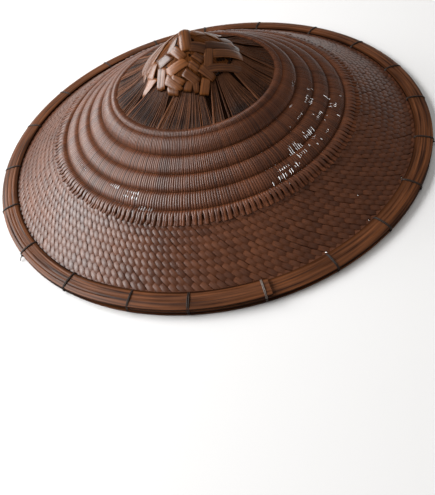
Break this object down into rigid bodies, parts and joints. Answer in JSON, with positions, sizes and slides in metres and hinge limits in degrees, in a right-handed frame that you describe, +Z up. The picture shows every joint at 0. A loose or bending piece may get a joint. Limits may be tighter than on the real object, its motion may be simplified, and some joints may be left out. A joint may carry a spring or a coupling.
{
  "type": "conical bamboo hat",
  "caption": "Wide conical sun hat of split bamboo with a plaited peak, a ribbed crown, a woven brim and a lashed hoop edge.",
  "frame": {"origin": "middle of the flat ring that the hat rests on", "axes": "+X to the right in the picture, +Y away from its camera, +Z up through the peak"},
  "size_m": [0.4809, 0.4809, 0.1408],
  "materials": {
    "plait": "aged split bamboo with its smooth skin outwards, satin",
    "splints": "fine dark bamboo splints, satin",
    "ribs": "bamboo splints over rings, satin",
    "weave": "close bamboo weave, satin",
    "hoop": "split-bamboo hoop, oiled",
    "lashing": "dark binding strand"
  },
  "bodies": {
    "root": {"peak_weave": "plait", "splint_fan_01": "splints", "splint_fan_02": "splints", "splint_fan_03": "splints", "splint_fan_04": "splints", "splint_fan_05": "splints", "splint_fan_06": "splints", "splint_fan_07": "splints", "splint_fan_08": "splints", "splint_fan_09": "splints", "splint_fan_10": "splints", "splint_fan_11": "splints", "splint_fan_12": "splints", "crown": "ribs", "brim": "weave", "rim_hoop_top": "hoop", "rim_hoop_under": "hoop", "rim_lashing_01": "lashing", "rim_lashing_02": "lashing", "rim_lashing_03": "lashing", "rim_lashing_04": "lashing", "rim_lashing_05": "lashing", "rim_lashing_06": "lashing", "rim_lashing_07": "lashing", "rim_lashing_08": "lashing", "rim_lashing_09": "lashing", "rim_lashing_10": "lashing", "rim_lashing_11": "lashing", "rim_lashing_12": "lashing", "rim_lashing_13": "lashing", "rim_lashing_14": "lashing", "rim_lashing_15": "lashing", "rim_lashing_16": "lashing", "rim_lashing_17": "lashing", "rim_lashing_18": "lashing", "rim_lashing_19": "lashing", "rim_lashing_20": "lashing", "rim_lashing_21": "lashing"}
  },
  "joints": []
}
